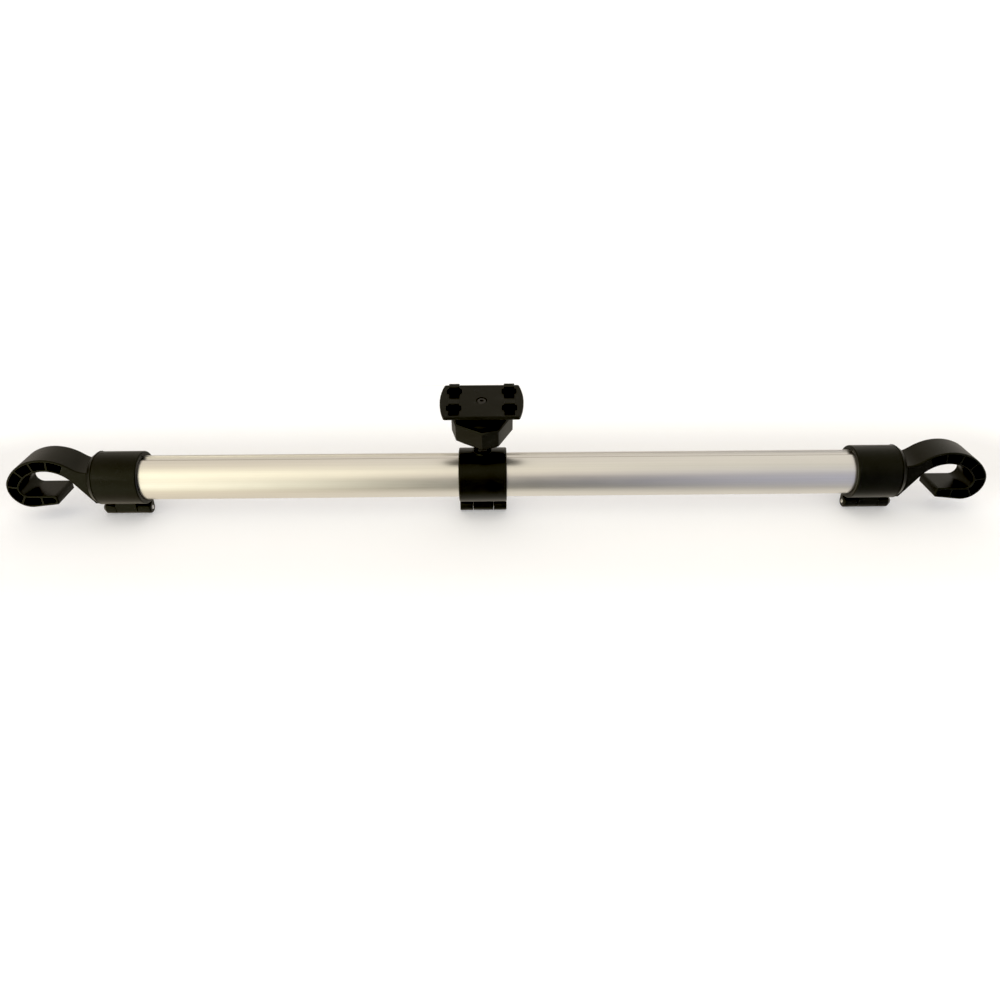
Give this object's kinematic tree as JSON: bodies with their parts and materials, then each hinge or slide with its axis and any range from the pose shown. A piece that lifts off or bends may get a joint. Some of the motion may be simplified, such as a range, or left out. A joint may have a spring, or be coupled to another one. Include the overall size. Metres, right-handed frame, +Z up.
{
  "type": "cargo bar",
  "caption": "Hook-on crossbar with moulded rail hooks, hinged tube clamps and a sliding ball-mounted four-claw device plate.",
  "frame": {"origin": "on the tube's axis, midway between the two rail hooks", "axes": "+X along the bar to the right hook, +Z up, the hinged jaws face -Y"},
  "size_m": [0.7038, 0.045, 0.0967],
  "materials": {
    "black_plastic": "satin moulded",
    "inner_plastic": "matt moulded",
    "grip_rubber": "matt",
    "brushed_aluminium": "satin anodised",
    "zinc_steel": "zinc plated",
    "dark_steel": "blackened"
  },
  "bodies": {
    "root": {"bar_tube": "brushed_aluminium", "left_end_hook": "black_plastic", "right_end_hook": "black_plastic", "left_hinge_pin": "zinc_steel", "right_hinge_pin": "zinc_steel", "left_rear_grip_pad": "grip_rubber", "right_rear_grip_pad": "grip_rubber"},
    "left_jaw": {"left_jaw": "black_plastic", "left_front_grip_pad": "grip_rubber"},
    "right_jaw": {"right_jaw": "black_plastic", "right_front_grip_pad": "grip_rubber"},
    "centre_clamp": {"centre_clamp_body": "black_plastic", "centre_hinge_pin": "zinc_steel", "centre_rear_grip_pad": "grip_rubber"},
    "centre_jaw": {"centre_jaw": "black_plastic", "centre_front_grip_pad": "grip_rubber"},
    "ball_stud": {"ball_stud": "dark_steel", "stud_screw": "zinc_steel"},
    "pressure_ring": {"pressure_ring": "inner_plastic"},
    "device_plate": {"device_plate": "black_plastic", "ball_socket": "black_plastic", "ball_seat": "grip_rubber", "plate_screw": "dark_steel"},
    "clamp_nut": {"clamp_nut": "black_plastic"}
  },
  "joints": [
    {"name": "left_jaw_hinge", "type": "hinge", "parent": "root", "child": "left_jaw", "pos_m": [-0.272, 0, -0.0248], "axis": [1, 0, 0], "range_deg": [0, 90]},
    {"name": "right_jaw_hinge", "type": "hinge", "parent": "root", "child": "right_jaw", "pos_m": [0.272, 0, -0.0248], "axis": [1, 0, 0], "range_deg": [0, 90]},
    {"name": "clamp_slide", "type": "slide", "parent": "root", "child": "centre_clamp", "axis": [1, 0, 0], "range_m": [-0.227, 0.249]},
    {"name": "centre_jaw_hinge", "type": "hinge", "parent": "centre_clamp", "child": "centre_jaw", "pos_m": [-0.011, 0, -0.0248], "axis": [1, 0, 0], "range_deg": [0, 90]},
    {"name": "ball_swivel", "type": "hinge", "parent": "centre_clamp", "child": "ball_stud", "pos_m": [-0.011, 0, 0.041], "axis": [0, 0, 1], "continuous": true},
    {"name": "ball_tilt", "type": "hinge", "parent": "ball_stud", "child": "pressure_ring", "pos_m": [-0.011, 0, 0.041], "axis": [1, 0, 0], "range_deg": [-37, 7]},
    {"name": "plate_spin", "type": "hinge", "parent": "pressure_ring", "child": "device_plate", "pos_m": [-0.011, 0, 0.041], "axis": [0, -0.2588, 0.9659], "continuous": true},
    {"name": "nut_turn", "type": "hinge", "parent": "device_plate", "child": "clamp_nut", "pos_m": [-0.011, 0, 0.041], "axis": [0, -0.2588, 0.9659], "range_deg": [-180, 0]}
  ]
}
